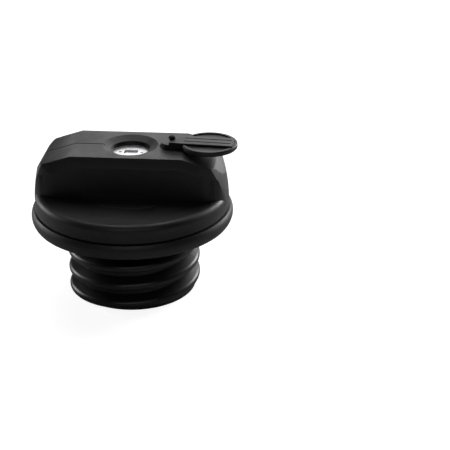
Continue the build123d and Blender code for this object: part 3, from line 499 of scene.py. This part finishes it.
plug = turned_mesh("plug", eased([
    # radius, height, rounding
    (NECK_BORE, 0.0, 0.3),
    (FOOT_RING, 0.0, 0.35),
    (FOOT_RING, FOOT_RING_HEIGHT, 0.5),
    (NECK_ROOT, FOOT_LEDGE_TOP, 0.8),
    (NECK_ROOT, SHOULDER_BOTTOM, 0.8),
    (SHOULDER_RADIUS, SHOULDER_BOTTOM, 0.4),
    (SHOULDER_RADIUS, SHOULDER_CUT, 0),
    (SPINDLE_HOLE, SHOULDER_CUT, 0),
    (SPINDLE_HOLE, WEB_BOTTOM, 0),
    (NECK_BORE, WEB_BOTTOM, 0),
]))
collar = cut_above(nodes["threaded_neck"].data, SHOULDER_CUT)
stand_in(joined_mesh("neck", [plug, thread_mesh(), collar]), "neck", "threaded_neck")


# ------------------------------------------------------------------ handle, cover, lock and gasket
stand_in(softened_mesh("handle_shell", width=0.3, angle=22.0), "handle", "handle_shell")
stand_in(softened_mesh("key_cover", width=0.1, angle=30.0), "cover", "key_cover")
stand_in(softened_mesh("lock_face", width=0.08, angle=40.0, segments=2), "core", "lock_face")
stand_in(softened_mesh("gasket", width=0.4, angle=35.0), "neck", "gasket")


# ------------------------------------------------------------------ springs
def compressed_spring(node, body, anchor):
    """A smooth-shaded copy of a coil in place of its CAD node, with a mesh of its own."""
    piece = stand_in(shaded(closed(opened(nodes[node].data), node + "_skin")), body, node)
    anchor = tuple(place * MM for place in anchor)
    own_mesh(piece)


compressed_spring(
    "pressure_spring", "neck",
    anchor=(0, 0, 15.0))
compressed_spring(
    "vacuum_spring", "pressure",
    anchor=(0, 0, 9.9))
compressed_spring(
    "slide_spring", "handle",
    anchor=(16.45, 6.0, 34.0))


# ------------------------------------------------------------------ pivot pin and painted shade in the cover slots
PIVOT_X = 14.8
PIN_RADIUS = 0.8
PIN_HEAD_RADIUS = 1.25
PIN_FOOT = 47.6
PIN_HEAD_FOOT = 57.2
PIN_TOP = 58.2
COVER_TURN = -4.3  # how the open cover lies, from +X
COVER_SLOT_START = 4.4  # from the pivot, along the cover
COVER_SLOT_END = 21.0
COVER_SLOT_SPACING = 3.0
COVER_SLOT_WIDTH = 0.7
COVER_SLOT_FLOOR = 56.3
COVER_SLOT_SHADOW = 57.02  # top of the painted slot shade, a matt black block standing in for the slot's shadow, just under the top of the cover's bar


def painted_slot_shade(name, side):
    """A matt black block in the lower part of one of the cover's two slots: painted shade in place of
    the slot's shadow.
    """
    size = Vector((
        COVER_SLOT_END - COVER_SLOT_START, COVER_SLOT_WIDTH, COVER_SLOT_SHADOW - COVER_SLOT_FLOOR))
    middle = Vector((
        (COVER_SLOT_START + COVER_SLOT_END) / 2, side * COVER_SLOT_SPACING / 2,
        (COVER_SLOT_FLOOR + COVER_SLOT_SHADOW) / 2))
    turn = Matrix.Rotation(math.radians(COVER_TURN), 3, "Z")
    shape = bmesh.new()
    bmesh.ops.create_cube(shape, size=MM)
    bmesh.ops.scale(shape, verts=shape.verts, vec=size)
    bmesh.ops.translate(shape, verts=shape.verts, vec=middle * MM)
    bmesh.ops.rotate(shape, verts=shape.verts, cent=(0, 0, 0), matrix=turn)
    bmesh.ops.translate(shape, verts=shape.verts, vec=(PIVOT_X * MM, 0, 0))
    mesh = closed(shape, name)
    mesh.materials.append(MATT_BLACK_PIN_AND_SLOT_SHADE)
    shade_block = add_piece(name, mesh)
    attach(shade_block, "cover")


pin_skin = turned_mesh("pin", eased([
    # radius, height, rounding
    (0.0, PIN_FOOT, 0),
    (PIN_RADIUS, PIN_FOOT, 0),
    (PIN_RADIUS, PIN_HEAD_FOOT, 0),
    (PIN_HEAD_RADIUS, PIN_HEAD_FOOT, 0.15),
    (PIN_HEAD_RADIUS, PIN_TOP, 0.8),
    (0.0, PIN_TOP, 0),
]), PIN_STEPS, (PIVOT_X, 0.0))
stand_in(pin_skin, "handle", "cover_pivot_pin", MATT_BLACK_PIN_AND_SLOT_SHADE)
# matt black blocks in the two slots: painted shade in place of the slots' shadow
painted_slot_shade("cover_slot_front_painted_shade", -1)
painted_slot_shade("cover_slot_back_painted_shade", 1)


# ------------------------------------------------------------------ floor, light, camera
FLOOR_REACH = 3.0  # metres from the middle to each edge
FLOOR_DROP = 0.05  # under the plug's foot
FLOOR_BOUNCE = 0.5  # grey that the floor reflects
FLOOR_GLOW = 0.88  # what the camera sees on top of that
SURROUND_LIGHT = 0.012  # even light from all around
SOFTBOXES = (
    # name, place and height aimed at in metres, width, depth, watts
    ("top softbox", (0.0, 0.35, 0.75), 0.04, 0.7, 0.5, 2.2),
    ("back softbox", (0.05, 0.75, 0.35), 0.05, 0.7, 0.35, 1.9),
    ("right rim strip", (0.55, 0.55, 0.24), 0.03, 0.3, 0.4, 4.6),
    ("left rim strip", (-0.66, 0.30, 0.16), 0.03, 0.3, 0.3, 1.8),
    ("front strip", (0.05, -0.62, 0.48), 0.015, 0.6, 0.06, 0.6),
)
CAMERA_LENS = 96.0
CAMERA_SENSOR = 36.0
CAMERA_NEAR = 10.0
CAMERA_PLACE = (0.0640, -0.3912, 0.2123)  # metres
CAMERA_FORWARD = (-0.0701, 0.8990, -0.4324)


def white_stage_material():
    """Floor that is white for the camera, takes a faint shadow and lights the part only dimly."""
    material = bpy.data.materials.new("white floor")
    material.use_nodes = True
    tree = material.node_tree
    link = tree.links.new
    plain = tree.nodes["Principled BSDF"]
    plain.inputs["Base Color"].default_value = (*[FLOOR_BOUNCE] * 3, 1)
    plain.inputs["Roughness"].default_value = 1.0
    plain.inputs["Specular IOR Level"].default_value = 0.0
    paths = add_node(tree, "ShaderNodeLightPath")
    glow = add_node(tree, "ShaderNodeEmission", {"Strength": FLOOR_GLOW})
    seen = add_node(tree, "ShaderNodeAddShader")
    blend = add_node(tree, "ShaderNodeMixShader")
    link(plain.outputs["BSDF"], seen.inputs[0])
    link(glow.outputs["Emission"], seen.inputs[1])
    link(paths.outputs["Is Camera Ray"], blend.inputs["Fac"])
    link(plain.outputs["BSDF"], blend.inputs[1])
    link(seen.outputs["Shader"], blend.inputs[2])
    link(blend.outputs["Shader"], tree.nodes["Material Output"].inputs["Surface"])
    return material


def white_surround(strength):
    """World that the camera sees as white, while the part gets only a dim even light from it."""
    world = bpy.data.worlds.new("studio")
    world.use_nodes = True
    tree = world.node_tree
    tree.nodes.clear()
    link = tree.links.new
    out = add_node(tree, "ShaderNodeOutputWorld")
    dim = add_node(tree, "ShaderNodeBackground", {"Color": (1, 1, 1, 1), "Strength": strength})
    white = add_node(tree, "ShaderNodeBackground", {"Color": (1, 1, 1, 1)})
    paths = add_node(tree, "ShaderNodeLightPath")
    blend = add_node(tree, "ShaderNodeMixShader")
    link(paths.outputs["Is Camera Ray"], blend.inputs["Fac"])
    link(dim.outputs["Background"], blend.inputs[1])
    link(white.outputs["Background"], blend.inputs[2])
    link(blend.outputs["Shader"], out.inputs["Surface"])
    return world


def softbox(name, place, aim_height, width, depth, watts):
    """A rectangular soft light at a place, turned towards the cap's axis."""
    lamp = bpy.data.lights.new(name, "AREA")
    lamp.shape = "RECTANGLE"
    lamp.size = width
    lamp.size_y = depth
    lamp.energy = watts
    holder = bpy.data.objects.new(name, lamp)
    holder.location = place
    towards = Vector((0, 0, aim_height)) - Vector(place)
    holder.rotation_euler = towards.to_track_quat("-Z", "Y").to_euler()
    bpy.context.scene.collection.objects.link(holder)


floor_mesh = bpy.data.meshes.new("floor")
floor_mesh.from_pydata(
    [(-FLOOR_REACH, -FLOOR_REACH, 0), (FLOOR_REACH, -FLOOR_REACH, 0),
     (FLOOR_REACH, FLOOR_REACH, 0), (-FLOOR_REACH, FLOOR_REACH, 0)],
    [], [(0, 1, 2, 3)])
floor_mesh.materials.append(white_stage_material())
floor = add_piece("floor", floor_mesh)
floor.location.z = -FLOOR_DROP * MM

bpy.context.scene.world = white_surround(SURROUND_LIGHT)
for box in SOFTBOXES:
    softbox(*box)

bpy.context.scene.view_settings.view_transform = "Standard"
camera = bpy.data.objects.new("camera", bpy.data.cameras.new("camera"))
camera.data.lens = CAMERA_LENS
camera.data.sensor_width = CAMERA_SENSOR
camera.data.clip_start = CAMERA_NEAR * MM
camera.location = CAMERA_PLACE
camera.rotation_euler = Vector(CAMERA_FORWARD).to_track_quat("-Z", "Y").to_euler()
bpy.context.scene.collection.objects.link(camera)
bpy.context.scene.camera = camera
